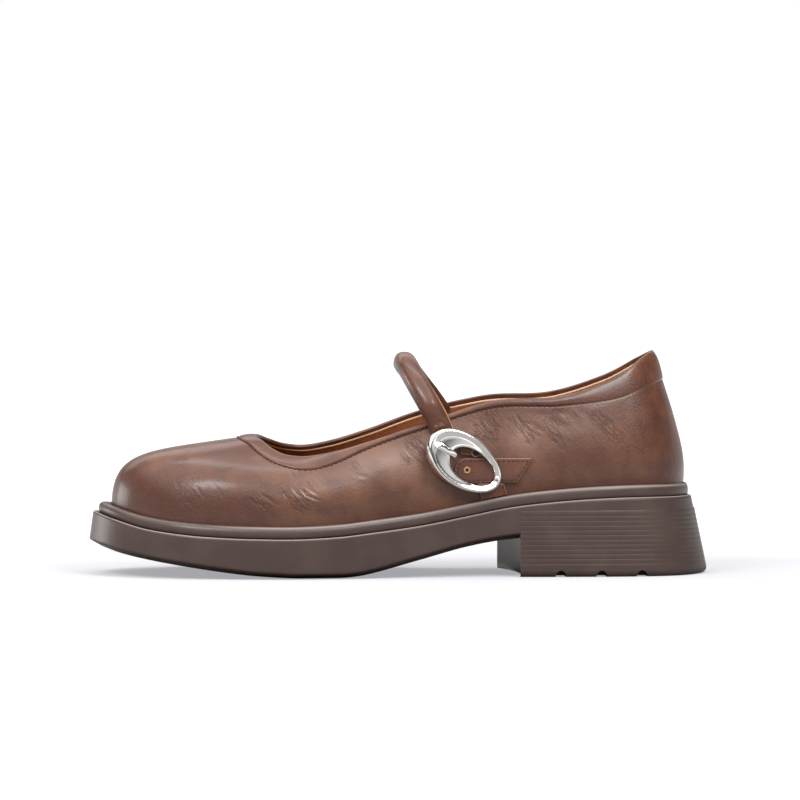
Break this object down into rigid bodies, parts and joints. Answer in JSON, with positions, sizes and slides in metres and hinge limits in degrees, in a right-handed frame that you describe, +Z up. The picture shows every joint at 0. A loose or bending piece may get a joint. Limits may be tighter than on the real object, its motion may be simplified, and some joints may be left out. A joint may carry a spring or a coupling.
{
  "type": "mary jane shoe",
  "caption": "Left mary jane shoe: hollow low-cut leather upper with a rolled instep strap and oval side buckle, on a moulded sole with a bead welt, toe spring and ribbed block heel.",
  "frame": {"origin": "on the floor under the middle of the shoe's bounding box", "axes": "+X from the toe towards the heel, -Y towards the outer side with the buckle, +Z up"},
  "size_m": [0.2684, 0.103, 0.0966],
  "materials": {
    "leather": "aged brown leather, glossy, with a mottled tone and fine creases",
    "sole": "dark brown moulded sole, satin",
    "insole": "tan leather, smooth",
    "metal": "polished silver colour"
  },
  "bodies": {
    "root": {"outsole": "sole", "heel": "sole", "welt": "sole", "insole": "insole", "upper": "leather", "strap": "leather", "tab": "leather", "anchor": "leather", "buckle": "metal", "prong": "metal"}
  },
  "joints": []
}
